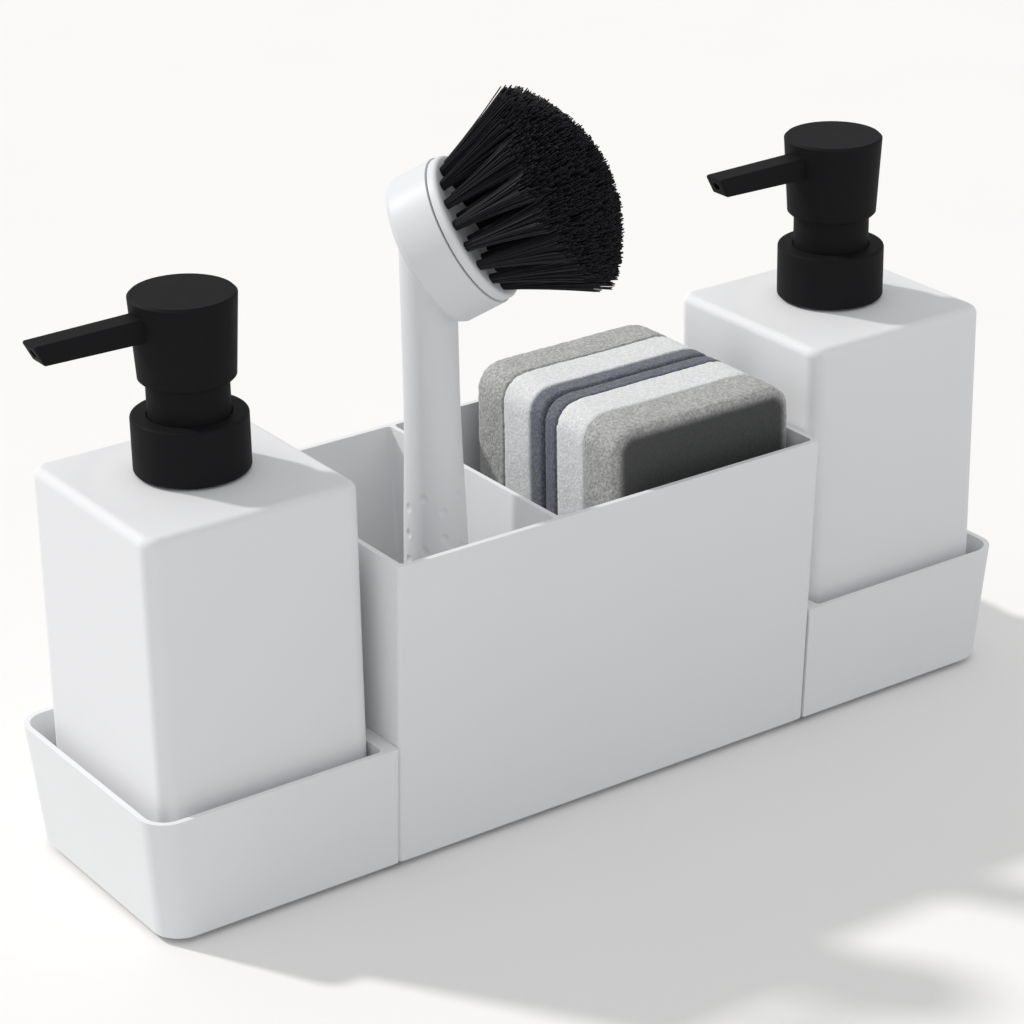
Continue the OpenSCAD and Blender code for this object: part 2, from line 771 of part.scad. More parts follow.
// Shallow round dimples in staggered columns on the grip
module grip_dimples() {
    for (column = [0:dimple_columns - 1], row = [0:dimple_rows - 1]) {
        stagger = column % 2 == 0 ? 0 : 0.5;
        z = cup_height * dimple_top_share - (row + stagger) * dimple_pitch;
        r = handle_radius(z / cup_height) + dimple_r - dimple_depth;
        rotate([0, 0, 360 * column / dimple_columns])
            translate([r, 0, z])
                sphere(r = dimple_r);
    }
}

module brush_handle() {
    cavity_r = cup_r - cup_wall;
    color(white_plastic)
        difference() {
            union() {
                at_handle()
                    difference() {
                        handle_stick();
                        grip_dimples();
                    }
                at_cup()
                    rotate_extrude()
                        polygon([
                            [0, 0], [cup_r - cup_edge_r, 0],
                            [cup_r - cup_edge_r * 0.3, cup_edge_r * 0.3],
                            [cup_r, cup_edge_r], [cup_r, cup_t], [0, cup_t]
                        ]);
            }
            at_cup()
                translate([0, 0, cup_wall])
                    cylinder(r = cavity_r, h = 2 * cup_t);
        }
}

// Bristle plate: a round insert with a plug in the cup and a rim in front of it. A shallow
// recess in its face holds the backing of the bristles.
module bristle_plate() {
    rim_foot = cup_t + groove_w;
    face = rim_foot + plate_t;
    recess_r = backing_r + push_gap;
    color(white_plastic)
        at_cup()
            rotate_extrude()
                polygon([
                    [0, cup_t - plug_h], [plug_r, cup_t - plug_h], [plug_r, rim_foot],
                    [plate_r, rim_foot], [plate_r, face - plate_edge_r],
                    [plate_r - plate_edge_r * 0.3, face - plate_edge_r * 0.3],
                    [plate_r - plate_edge_r, face], [recess_r, face],
                    [recess_r, face - bristle_slice], [0, face - bristle_slice]
                ]);
}

// Bristles: every strand is a straight three-sided rod that leans away from the axis.
// A tuft's tips move outwards with the tuft's middle and splay round it.
ring_step = tuft_ring_r * (tuft_ring_shares[3] - tuft_ring_shares[2]);
spread_scale = (tuft_ring_r + bristle_spread) / tuft_ring_r;
tip_tuft_r = splay_share * spread_scale * ring_step / 2;
reach_r = tuft_ring_r + bristle_spread + tip_tuft_r;
function polar(r, angle) = [r * cos(angle), r * sin(angle)];
function tip_height(r) = bristle_l - bristle_crown * (r / reach_r) * (r / reach_r);
tufts = [
    for (ring = [0:len(tuft_counts) - 1], i = [0:tuft_counts[ring] - 1])
        polar(tuft_ring_r * tuft_ring_shares[ring], 360 * (i + ring / 2) / tuft_counts[ring])
];
strand_spots = [
    for (ring = [0:len(strand_counts) - 1], i = [0:strand_counts[ring] - 1])
        polar(strand_ring_shares[ring], 360 * i / strand_counts[ring])
];

function strand_rods() = [
    for (tuft = tufts, spot = strand_spots)
        let (
            root = tuft + tuft_r * spot,
            tip = spread_scale * tuft + tip_tuft_r * spot
        )
            [[root[0], root[1], 0], [tip[0] + bristle_lean, tip[1], tip_height(norm(tip))]]
];

module bristle_strands() {
    rods = strand_rods();
    corners = [
        for (rod = rods, end = [0, 1], k = [0:strand_sides - 1])
            let (p = polar(end == 0 ? strand_r : strand_tip_r, 360 * k / strand_sides))
                rod[end] + [p[0], p[1], end == 0 ? -bristle_slice / 2 : 0]
    ];
    faces = [
        for (i = [0:len(rods) - 1])
            let (a = i * 2 * strand_sides)
                each [
                    [a, a + 1, a + 2], [a + 5, a + 4, a + 3],
                    [a, a + 3, a + 1], [a + 1, a + 3, a + 4],
                    [a + 1, a + 4, a + 2], [a + 2, a + 4, a + 5],
                    [a + 2, a + 5, a], [a, a + 5, a + 3]
                ]
    ];
    polyhedron(points = corners, faces = faces);
}

module bristles() {
    face = cup_t + groove_w + plate_t;
    color(black_plastic)
        at_cup()
            translate([0, 0, face]) {
                translate([0, 0, -bristle_slice])
                    cylinder(r = backing_r, h = bristle_slice);
                bristle_strands();
            }
}

// Sponge layer: a rounded upright slab, set from y0 to y0 + t
module rounded_face(w, h, r) {
    translate([r, 0]) square([w - 2 * r, h]);
    translate([0, r]) square([w, h - 2 * r]);
    for (x = [r, w - r], y = [r, h - r])
        translate([x, y]) circle(r = r);
}

module sponge_layer(y0, t) {
    translate([sponge_x, y0 + t, floor_t])
        rotate([90, 0, 0])
            linear_extrude(height = t)
                rounded_face(sponge_w, sponge_h, sponge_corner_r);
}

grey_colour = [0.66, 0.66, 0.65];
foam_colour = [0.9, 0.9, 0.91];
slate_colour = [0.39, 0.42, 0.47];
sponge_y = sponge_gap / 2;

module sponge_front_slate() {
    color(slate_colour) sponge_layer(-sponge_y - slate_t, slate_t);
}

module sponge_front_white() {
    color(foam_colour) sponge_layer(-sponge_y - slate_t - white_t, white_t);
}

module sponge_front_grey() {
    color(grey_colour) sponge_layer(-sponge_y - sponge_t, grey_t);
}

module sponge_rear_slate() {
    color(slate_colour) sponge_layer(sponge_y, slate_t);
}

module sponge_rear_white() {
    color(foam_colour) sponge_layer(sponge_y + slate_t, white_t);
}

module sponge_rear_grey() {
    color(grey_colour) sponge_layer(sponge_y + slate_t + white_t, grey_t);
}

centre_box();
box_feet();
left_tray();
left_tray_feet();
right_tray();
right_tray_feet();
left_bottle();
left_collar();
left_gasket();
left_pump_body();
left_stem_guide();
left_spring();
left_stem();
left_piston();
left_inlet_ball();
left_dip_tube();
left_pump_head();
right_bottle();
right_collar();
right_gasket();
right_pump_body();
right_stem_guide();
right_spring();
right_stem();
right_piston();
right_inlet_ball();
right_dip_tube();
right_pump_head();
brush_handle();
bristle_plate();
bristles();
sponge_front_grey();
sponge_front_white();
sponge_front_slate();
sponge_rear_grey();
sponge_rear_white();
sponge_rear_slate();
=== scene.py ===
"""Sink-side caddy with two pump bottles, a round dish brush and two layered sponges.

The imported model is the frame, in metres: X runs to the right, Y to the back and Z up, and
zero is the middle of the box's flat underside. The sections follow the set as it is put
together, from the floor that it stands on to the sponges.
"""
import math

import bmesh
import bpy
from mathutils import Matrix, Vector


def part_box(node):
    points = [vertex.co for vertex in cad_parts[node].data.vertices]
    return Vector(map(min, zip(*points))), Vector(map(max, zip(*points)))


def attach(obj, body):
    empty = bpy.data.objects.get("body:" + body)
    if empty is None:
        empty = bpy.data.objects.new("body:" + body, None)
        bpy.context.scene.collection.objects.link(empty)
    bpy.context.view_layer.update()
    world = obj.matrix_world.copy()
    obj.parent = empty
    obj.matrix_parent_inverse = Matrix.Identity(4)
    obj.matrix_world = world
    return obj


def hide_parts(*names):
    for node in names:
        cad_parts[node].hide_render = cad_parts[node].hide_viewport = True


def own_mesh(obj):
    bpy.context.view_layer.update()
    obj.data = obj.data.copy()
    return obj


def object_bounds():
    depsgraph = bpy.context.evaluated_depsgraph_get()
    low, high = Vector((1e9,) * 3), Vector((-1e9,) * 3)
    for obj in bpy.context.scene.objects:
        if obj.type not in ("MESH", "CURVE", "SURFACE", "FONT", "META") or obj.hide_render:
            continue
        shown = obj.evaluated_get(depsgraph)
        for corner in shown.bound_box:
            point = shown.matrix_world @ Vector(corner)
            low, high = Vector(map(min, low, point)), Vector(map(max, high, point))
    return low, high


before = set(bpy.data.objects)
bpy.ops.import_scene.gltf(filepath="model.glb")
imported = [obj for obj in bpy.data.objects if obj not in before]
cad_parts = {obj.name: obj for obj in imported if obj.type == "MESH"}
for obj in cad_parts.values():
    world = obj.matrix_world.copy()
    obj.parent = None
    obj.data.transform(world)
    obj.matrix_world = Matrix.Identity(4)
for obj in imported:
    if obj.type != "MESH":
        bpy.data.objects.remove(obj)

cad_low, cad_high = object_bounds()


# View and light.
# A worktop seen from the front left and above, under sun from a window at the back left
# that is softened by a curtain, with a pale room all round.
scene = bpy.context.scene
EYE = Vector((-0.539, -0.7714, 0.4983))
EYE_RIGHT = Vector((0.8187, -0.574, -0.0171))
EYE_UP = Vector((0.245, 0.3222, 0.9144))
EYE_AHEAD = Vector((0.5193, 0.7528, -0.4044))
LENS = 113.4
SUN_TRAVEL = Vector((0.55, -0.84, -0.82))
SUN_POWER = 1.75
SUN_SOFTNESS = math.radians(4)
SUN_COLOUR = (1, 0.985, 0.96)
WALL_COLOUR = (0.97, 0.98, 0.99, 1)
WALL_LIGHT = 0.66
WALL_SEEN = 0.96

camera = bpy.data.objects.new("view", bpy.data.cameras.new("view"))
camera.data.lens = LENS
camera.data.clip_start = 0.05
camera.data.clip_end = 20
camera.matrix_world = Matrix.Translation(EYE) @ Matrix(
    (EYE_RIGHT, EYE_UP, -EYE_AHEAD)).transposed().to_4x4()
scene.collection.objects.link(camera)
scene.camera = camera

sun = bpy.data.objects.new("window_sun", bpy.data.lights.new("window_sun", "SUN"))
sun.data.energy = SUN_POWER
sun.data.angle = SUN_SOFTNESS
sun.data.color = SUN_COLOUR
sun.rotation_mode = "QUATERNION"
sun.rotation_quaternion = SUN_TRAVEL.to_track_quat("-Z", "Y")
scene.collection.objects.link(sun)

scene.view_settings.view_transform = "Standard"
scene.world = bpy.data.worlds.new("pale_room")
scene.world.use_nodes = True


class Wire:
    """One output of a node. Arithmetic on a number adds Math nodes, on a vector Vector Math."""

    def __init__(self, recipe, socket):
        self.recipe = recipe
        self.socket = socket
        self.is_vector = socket.type == "VECTOR"

    def joined(self, operation, first, second):
        kind = "ShaderNodeVectorMath" if self.is_vector else "ShaderNodeMath"
        return self.recipe.node(kind, {"operation": operation}, {0: first, 1: second})

    def __add__(self, other):
        return self.joined("ADD", self, other)

    def __sub__(self, other):
        return self.joined("SUBTRACT", self, other)

    def __rsub__(self, other):
        return self.joined("SUBTRACT", other, self)

    def __mul__(self, other):
        if self.is_vector:
            return self.recipe.node("ShaderNodeVectorMath", {"operation": "SCALE"},
                                    {0: self, 3: other})
        return self.joined("MULTIPLY", self, other)

    def __truediv__(self, other):
        return self.joined("DIVIDE", self, other)

    def __rtruediv__(self, other):
        return self.joined("DIVIDE", other, self)

    __radd__ = __add__


class Recipe:
    """A node tree. node() adds a node, sets it and gives one of its outputs."""

    def __init__(self, tree):
        self.tree = tree

    def node(self, kind, settings=None, sockets=None, output=0):
        made = self.tree.nodes.new(kind)
        for name, value in (settings or {}).items():
            setattr(made, name, value)
        for name, value in (sockets or {}).items():
            if isinstance(value, Wire):
                self.tree.links.new(value.socket, made.inputs[name])
            else:
                made.inputs[name].default_value = value
        return Wire(self, made.outputs[output])


room = Recipe(scene.world.node_tree)
walls = room.tree.nodes["Background"]
walls.inputs["Color"].default_value = WALL_COLOUR
wall_light = room.node("ShaderNodeLightPath", output="Is Camera Ray") * (
    WALL_SEEN - WALL_LIGHT) + WALL_LIGHT
room.tree.links.new(wall_light.socket, walls.inputs["Strength"])


class Finish(Recipe):
    """A material of one shader. Constants go on its sockets; vary() links what changes."""

    def __init__(self, name, constants):
        self.material = bpy.data.materials.new(name)
        self.material.use_nodes = True
        super().__init__(self.material.node_tree)
        self.shader = self.tree.nodes["Principled BSDF"]
        for socket, value in constants.items():
            self.shader.inputs[socket].default_value = value
        self.place = self.node("ShaderNodeTexCoord", output="Object")

    def noise(self, size, detail=2, roughness=0.5):
        """Soft random mottling from 0 to 1, its spots about size metres across."""
        return self.node("ShaderNodeTexNoise", None, {
            "Vector": self.place, "Scale": 1 / size, "Detail": detail, "Roughness": roughness})

    def tint(self, share, first, second):
        """A colour that goes from first to second with share."""
        ends = [end if isinstance(end, Wire) else (*end, 1) for end in (first, second)]
        return self.node("ShaderNodeMix", {"data_type": "RGBA"}, {
            0: share, 6: ends[0], 7: ends[1]}, output=2)

    def bump(self, height, depth, under=None):
        """A normal from a height of 0 to 1 that stands for depth metres, on another normal
        if one is given."""
        sockets = {"Height": height, "Distance": depth, "Strength": 1}
        if under:
            sockets["Normal"] = under
        return self.node("ShaderNodeBump", None, sockets)

    def vary(self, **wires):
        """Links wires to the shader's sockets of those names."""
        for name, wire in wires.items():
            socket = self.shader.inputs[name.replace("_", " ")]
            self.tree.links.new(wire.socket, socket)


# Floor.
# A plain off-white worktop with a silk matt coat, which the set stands on by its pads. It
# shows nearly white, and throws the softer light of a pale grey top on the set.
FLOOR_HALF = 3.0
FLOOR_LEVEL = cad_low.z
FLOOR_BOUNCE = (0.75, 0.75, 0.75)
CLOUD_SIZE = 0.09
PEEL_SIZE = 0.0021
worktop = Finish("worktop_coat", {"Specular IOR Level": 0.2})
clouding = worktop.noise(CLOUD_SIZE, detail=3)
seen = worktop.node("ShaderNodeLightPath", output="Is Camera Ray")
worktop.vary(
    Base_Color=worktop.tint(
        seen, FLOOR_BOUNCE,
        worktop.tint(clouding, (0.97, 0.96, 0.942), (0.99, 0.98, 0.966))),
    Roughness=clouding * 0.1 + 0.62,
    Normal=worktop.bump(worktop.noise(PEEL_SIZE), 0.00001))

floor_mesh = bpy.data.meshes.new("worktop")
floor_mesh.from_pydata(
    [(x * FLOOR_HALF, y * FLOOR_HALF, FLOOR_LEVEL)
     for x, y in ((-1, -1), (1, -1), (1, 1), (-1, 1))],
    [], [(0, 1, 2, 3)])
floor_mesh.materials.append(worktop.material)
floor = bpy.data.objects.new("worktop", floor_mesh)
scene.collection.objects.link(floor)


# Centre box.
# A tall open box with two wells, moulded in white polypropylene. The tool is finely eroded,
# so the skin is matt, and its rims are rounded where the two halves of the tool meet.
SAME_POINT = 1e-6
FLAT_ANGLE = math.radians(0.4)
CREASE_ANGLE = math.radians(30)
ROUNDING_STEPS = 3
RIM_ROUNDING = 0.00045
FLOW_SIZE = 0.035
RUB_SIZE = 0.006


def add_piece(name, mesh, body, finish, node):
    """Puts a finished mesh in the scene as a piece of that body, in place of a CAD node."""
    mesh.materials.clear()
    mesh.materials.append(finish.material)
    piece = bpy.data.objects.new(name, mesh)
    scene.collection.objects.link(piece)
    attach(piece, body)
    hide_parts(node)
    return piece


def applied(mesh, *modifiers):
    """The mesh with modifiers applied; each is given as its kind and its settings."""
    carrier = bpy.data.objects.new("carrier", mesh)
    scene.collection.objects.link(carrier)
    for kind, settings in modifiers:
        step = carrier.modifiers.new(kind, kind)
        for name, value in settings.items():
            setattr(step, name, value)
    plain = bpy.data.meshes.new_from_object(
        carrier.evaluated_get(bpy.context.evaluated_depsgraph_get()))
    bpy.data.objects.remove(carrier)
    return plain


def joined_copy(node, merge_flats):
    """A CAD node's mesh with its corners joined and, if asked, its flat triangles merged."""
    work = bmesh.new()
    work.from_mesh(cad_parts[node].data)
    bmesh.ops.remove_doubles(work, verts=work.verts, dist=SAME_POINT)
    if merge_flats:
        bmesh.ops.dissolve_limit(
            work, angle_limit=FLAT_ANGLE, verts=work.verts, edges=work.edges)
    mesh = bpy.data.meshes.new(node + "_joined")
    work.to_mesh(mesh)
    work.free()
    return mesh


def moulded_copy(node, rounding):
    """A CAD node's mesh with its creases rounded and its curves smooth."""
    mesh = joined_copy(node, merge_flats=True)
    mesh.shade_smooth()
    mesh.set_sharp_from_angle(angle=CREASE_ANGLE)
    return applied(
        mesh,
        ("BEVEL", {"width": rounding, "segments": ROUNDING_STEPS, "limit_method": "ANGLE",
                   "angle_limit": CREASE_ANGLE, "use_clamp_overlap": True}),
        ("WELD", {"merge_threshold": SAME_POINT}),
        ("WEIGHTED_NORMAL", {"keep_sharp": True}))


def eroded_plastic(name, dark, light, rough, grain, depth):
    """Matt moulded plastic: fine eroded grain, slow flow mottling and faint rub marks."""
    finish = Finish(name, {"IOR": 1.49, "Specular IOR Level": 0.25})
    flow = finish.noise(FLOW_SIZE, detail=3)
    pits = finish.noise(grain, roughness=0.6)
    rubs = finish.noise(RUB_SIZE, detail=4, roughness=0.7)
    finish.vary(
        Base_Color=finish.tint(flow * 0.6 + pits * 0.4, dark, light),
        Roughness=rough + (flow - 0.5) * 0.12 + (rubs - 0.5) * 0.1 + (pits - 0.5) * 0.08,
        Normal=finish.bump(pits, depth, finish.bump(flow, depth * 4)))
    return finish


caddy_plastic = eroded_plastic(
    "caddy_plastic", (0.875, 0.88, 0.89), (0.915, 0.92, 0.93), 0.55, 0.0004, 0.00001)
add_piece("centre_box_moulding", moulded_copy("centre_box", RIM_ROUNDING), "caddy",
          caddy_plastic, "centre_box")


# Anti-slip pads.
# Soft white rubber discs pressed into shallow pockets under the box and the trays, with a
# faint pebbled skin that grips a wet worktop.
def refinish(finish, *nodes):
    """Gives CAD nodes that keep their own shape a finish."""
    for node in nodes:
        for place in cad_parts[node].material_slots:
            place.material = finish.material


pad_rubber = eroded_plastic(
    "pad_rubber", (0.6, 0.6, 0.59), (0.68, 0.68, 0.67), 0.8, 0.0007, 0.00004)
refinish(pad_rubber, "box_feet", "left_tray_feet", "right_tray_feet")


# Trays.
# Two low tubs in the same white polypropylene, each hooked by its rim flange into the ledge
# on an end of the box.
for side in ("left", "right"):
    add_piece(side + "_tray_moulding", moulded_copy(side + "_tray", RIM_ROUNDING),
              side + "_tray_body", caddy_plastic, side + "_tray")


# Bottles.
# Square blow-moulded bottles with a fine matt skin, a shade cooler than the caddy, that
# carry a short neck for the screw collar.
NECK_ROUNDING = 0.0003
bottle_skin = eroded_plastic(
    "bottle_skin", (0.872, 0.874, 0.888), (0.907, 0.909, 0.923), 0.6, 0.0006, 0.000016)
for side in ("left", "right"):
    add_piece(side + "_bottle_shell", moulded_copy(side + "_bottle", NECK_ROUNDING),
              side + "_bottle_body", bottle_skin, side + "_bottle")


# Works of the pumps.
# Held inside the bottles: the cylinder, stem, piston and dip tube of clear polypropylene, the
# soft sealing ring on the neck, and the steel ball of the inlet valve.
clear_plastic = eroded_plastic(
    "natural_plastic", (0.66, 0.67, 0.66), (0.74, 0.75, 0.74), 0.3, 0.0009, 0.000006)
seal_rubber = eroded_plastic(
    "seal_rubber", (0.5, 0.52, 0.55), (0.58, 0.6, 0.63), 0.6, 0.0008, 0.00001)
steel = Finish("drawn_steel", {"Metallic": 1})
draw_lines = steel.noise(0.0009, detail=3)
steel.vary(
    Base_Color=steel.tint(draw_lines, (0.5, 0.5, 0.51), (0.68, 0.68, 0.69)),
    Roughness=draw_lines * 0.2 + 0.2,
    Normal=steel.bump(draw_lines, 0.000006))
for side in ("left", "right"):
    refinish(clear_plastic, side + "_pump_body", side + "_stem", side + "_piston",
             side + "_dip_tube")
    refinish(seal_rubber, side + "_gasket")
    refinish(steel, side + "_inlet_ball")


# Return springs.
# Drawn steel wire, coiled. Each stands on the ledge in its cylinder under the piston, at the
# length of its CAD part.
WIRE = 0.0009
COILS = 7
POINTS_PER_COIL = 24
for side in ("left", "right"):
    spring_low, spring_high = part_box(side + "_spring")
    foot = (spring_low + spring_high) / 2
    foot.z = spring_low.z
    coil_r = (spring_high.x - spring_low.x - WIRE) / 2
    spring_length = spring_high.z - spring_low.z
    coil = bpy.data.curves.new(side + "_coil", "CURVE")
    coil.dimensions = "3D"
    coil.bevel_depth = WIRE / 2
    coil.bevel_resolution = 2
    coil.use_fill_caps = True
    path = coil.splines.new("POLY")
    path.points.add(COILS * POINTS_PER_COIL)
    for i, point in enumerate(path.points):
        turn = math.tau * i / POINTS_PER_COIL
        climb = WIRE / 2 + (spring_length - WIRE) * i / (COILS * POINTS_PER_COIL)
        point.co = (foot.x + coil_r * math.cos(turn), foot.y + coil_r * math.sin(turn),
                    foot.z + climb, 1)
    spring = add_piece(
        side + "_coil_spring",
        bpy.data.meshes.new_from_object(bpy.data.objects.new("coil", coil)),
        side + "_pump_core", steel, side + "_spring")
    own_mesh(spring)


# Collars and guide bosses.
# Black polypropylene with a fine matt grain. The collar screws onto the neck and clamps the
# boss, over which the head slides.
COLLAR_ROUNDING = 0.0005
black_plastic = eroded_plastic(
    "black_plastic", (0.0105, 0.0105, 0.0115), (0.0155, 0.0155, 0.017), 0.6, 0.0005, 0.000014)
black_plastic.shader.inputs["Specular IOR Level"].default_value = 0.06
for side in ("left", "right"):
    add_piece(side + "_collar_ring", moulded_copy(side + "_collar", COLLAR_ROUNDING),
              side + "_collar_body", black_plastic, side + "_collar")
    add_piece(side + "_guide_boss", moulded_copy(side + "_stem_guide", COLLAR_ROUNDING / 2),
              side + "_pump_core", black_plastic, side + "_stem_guide")


# Pump heads.
# One black moulding each: a flaring cap that presses onto the stem, and a slim nozzle with
# a slanting tip.
HEAD_ROUNDING = 0.0004
for side in ("left", "right"):
    add_piece(side + "_head_cap", moulded_copy(side + "_pump_head", HEAD_ROUNDING),
              side + "_head_body", black_plastic, side + "_pump_head")


# Brush handle and cup.
# A stick with a round cup across its end, in one smooth white moulding, with columns of
# shallow dimples where the hand grips it.
DIMPLE_ROUNDING = 0.0005
brush_plastic = eroded_plastic(
    "brush_plastic", (0.79, 0.8, 0.815), (0.83, 0.835, 0.85), 0.42, 0.0005, 0.000008)
add_piece("brush_stick", moulded_copy("brush_handle", DIMPLE_ROUNDING), "brush",
          brush_plastic, "brush_handle")


# Bristle plate.
# A white disc that plugs into the cup and carries the tufts. A fine groove runs round it
# behind its rounded rim, and its face is flat and full between the tufts.
CUP_ORIGIN = Vector((-0.0425, -0.01, 0.1816))
CUP_TILT = math.radians(60)
CUP_TURN = math.radians(-45)
PLATE_R = 0.0233
PLATE_FACE = 0.018
PLATE_EDGE = 0.0013
PLUG_R = 0.02155
PLUG_FOOT = 0.0086
GROOVE_FLOOR = 0.0151
LATHE_STEPS = 128
ROUND_STEPS = 6
head_place = (Matrix.Translation(CUP_ORIGIN) @ Matrix.Rotation(CUP_TURN, 4, "Z")
              @ Matrix.Rotation(CUP_TILT, 4, "Y"))


def lathed(name, profile):
    """A closed turned solid from (radius, height) points that start and end on its axis."""
    work = bmesh.new()
    corners = [work.verts.new((radius, 0, height)) for radius, height in profile]
    edges = [work.edges.new(pair) for pair in zip(corners, corners[1:])]
    bmesh.ops.spin(work, geom=corners + edges, angle=math.tau, steps=LATHE_STEPS,
                   axis=(0, 0, 1), cent=(0, 0, 0), use_merge=True)
    bmesh.ops.remove_doubles(work, verts=work.verts, dist=SAME_POINT)
    bmesh.ops.recalc_face_normals(work, faces=work.faces)
    mesh = bpy.data.meshes.new(name)
    work.to_mesh(mesh)
    work.free()
    mesh.shade_smooth()
    mesh.set_sharp_from_angle(angle=CREASE_ANGLE)
    return mesh


plate_rim = []
for i in range(ROUND_STEPS + 1):
    turn = math.pi / 2 * i / ROUND_STEPS
    plate_rim.append((PLATE_R - PLATE_EDGE * (1 - math.cos(turn)),
                      PLATE_FACE - PLATE_EDGE * (1 - math.sin(turn))))
plate_mesh = lathed("tuft_plate", [
    (0, PLUG_FOOT), (PLUG_R, PLUG_FOOT), (PLUG_R, GROOVE_FLOOR), (PLATE_R, GROOVE_FLOOR),
    *plate_rim, (0, PLATE_FACE)])
plate_mesh.transform(head_place)
add_piece("tuft_plate", plate_mesh, "brush", brush_plastic, "bristle_plate")


# Bristles.
# Black nylon strands, folded and stapled into the plate in rings of round tufts. Each tuft
# fans out towards its tips, and the trimmed tips stand in a low dome.
TUFT_RING = 0.0199
TUFT_RINGS = ((1, 0.0), (7, 0.4), (12, 0.7), (18, 1.0))
BRISTLES = {
    "Strands per tuft": 130, "Tuft radius": 0.0014, "Spread": 1.43, "Tip radius": 0.0054,
    "Late flare": 0.4, "Reach": 0.0339, "Length": 0.0425, "Crown": 0.015, "Lean": 0.0012,
    "Length scatter": 0.0015, "Bow": 0.0013, "Root thickness": 0.00014,
    "Tip thickness": 0.00023, "Seed": 7,
}
GOLDEN_ANGLE = math.pi * (3 - math.sqrt(5))
TURN_SCATTER = 0.3
LENGTH_SCATTER = 1.1
BOWS_PER_METRE = 700.0
STRAND_POINTS = 7
STRAND_SIDES = 3


class Build(Recipe):
    """A Geometry Nodes tree with named inputs, a fixed seed and one result."""

    def __init__(self, name, sizes):
        super().__init__(bpy.data.node_groups.new(name, "GeometryNodeTree"))
        self.sockets = {}
        self.sizes = sizes
        panel = self.tree.interface
        panel.new_socket("Geometry", in_out="INPUT", socket_type="NodeSocketGeometry")
        for label, value in sizes.items():
            kind = "NodeSocketInt" if isinstance(value, int) else "NodeSocketFloat"
            self.sockets[label] = panel.new_socket(label, in_out="INPUT", socket_type=kind)
        panel.new_socket("Geometry", in_out="OUTPUT", socket_type="NodeSocketGeometry")
        self.inlet = self.tree.nodes.new("NodeGroupInput")

    def given(self, label):
        """The mesh or a size that the tree is run with."""
        return Wire(self, self.inlet.outputs[label])

    def scatter(self, seed_step, low, high):
        """A random number for each element, the same in every run."""
        return self.node("FunctionNodeRandomValue", {"data_type": "FLOAT"}, {
            2: low, 3: high, "Seed": self.given("Seed") + seed_step}, output=1)

    def result(self, mesh, geometry, finish):
        """Closes the tree, runs it on a mesh and gives the plain mesh that comes out."""
        geometry = self.node("GeometryNodeRealizeInstances", None, {"Geometry": geometry})
        geometry = self.node("GeometryNodeSetMaterial", None, {
            "Geometry": geometry, "Material": finish.material})
        outlet = self.tree.nodes.new("NodeGroupOutput")
        self.tree.links.new(geometry.socket, outlet.inputs["Geometry"])
        carrier = bpy.data.objects.new("carrier", mesh)
        scene.collection.objects.link(carrier)
        step = carrier.modifiers.new("build", "NODES")
        step.node_group = self.tree
        for label, value in self.sizes.items():
            step[self.sockets[label].identifier] = value
        plain = bpy.data.meshes.new_from_object(
            carrier.evaluated_get(bpy.context.evaluated_depsgraph_get()))
        bpy.data.objects.remove(carrier)
        return plain


nylon = Finish("bristle_nylon", {"IOR": 1.53, "Specular IOR Level": 0.15})
strand_shades = nylon.noise(0.0007, detail=3, roughness=0.7)
nylon.vary(
    Base_Color=nylon.tint(strand_shades, (0.022, 0.022, 0.025), (0.036, 0.036, 0.041)),
    Roughness=strand_shades * 0.3 + 0.5,
    Normal=nylon.bump(strand_shades, 0.00002))

tuft_spots = bpy.data.meshes.new("tuft_spots")
tuft_spots.from_pydata([
    (TUFT_RING * share * math.cos(turn), TUFT_RING * share * math.sin(turn), 0)
    for ring, (count, share) in enumerate(TUFT_RINGS)
    for turn in (math.tau * (i + ring / 2) / count for i in range(count))], [], [])

tufts = Build("tufts", BRISTLES)
doubled = tufts.node("GeometryNodeDuplicateElements", {"domain": "POINT"}, {
    "Geometry": tufts.given("Geometry"),
    "Amount": tufts.given("Strands per tuft")})
strand_number = Wire(tufts, doubled.socket.node.outputs["Duplicate Index"])
tuft_place = tufts.node("GeometryNodeInputPosition")
turn = strand_number * GOLDEN_ANGLE + tufts.scatter(1, -TURN_SCATTER, TURN_SCATTER)
out = tufts.node("ShaderNodeMath", {"operation": "SQRT"}, {
    0: (strand_number + 0.5) / tufts.given("Strands per tuft")})
spot = tufts.node("ShaderNodeCombineXYZ", None, {
    "X": out * tufts.node("ShaderNodeMath", {"operation": "COSINE"}, {0: turn}),
    "Y": out * tufts.node("ShaderNodeMath", {"operation": "SINE"}, {0: turn})})
lean = tufts.node("ShaderNodeCombineXYZ", None, {"X": tufts.given("Lean")})
tip_flat = tuft_place * tufts.given("Spread") + spot * tufts.given("Tip radius")
tip_share = tufts.node("ShaderNodeVectorMath", {"operation": "LENGTH"}, {0: tip_flat},
                       output="Value") / tufts.given("Reach")
rise = (tufts.given("Length") - tip_share * tip_share * tufts.given("Crown")
        - tufts.scatter(2, 0.0, LENGTH_SCATTER) * tufts.given("Length scatter"))
tip = tip_flat + lean + tufts.node("ShaderNodeCombineXYZ", None, {"Z": rise})
marked = tufts.node("GeometryNodeStoreNamedAttribute", {
    "data_type": "FLOAT_VECTOR", "domain": "POINT"}, {
    "Geometry": doubled, "Name": "tip", "Value": tip})
marked = tufts.node("GeometryNodeStoreNamedAttribute", {
    "data_type": "FLOAT_VECTOR", "domain": "POINT"}, {
    "Geometry": marked, "Name": "spot", "Value": spot})
rooted = tufts.node("GeometryNodeSetPosition", None, {
    "Geometry": marked, "Offset": spot * tufts.given("Tuft radius")})
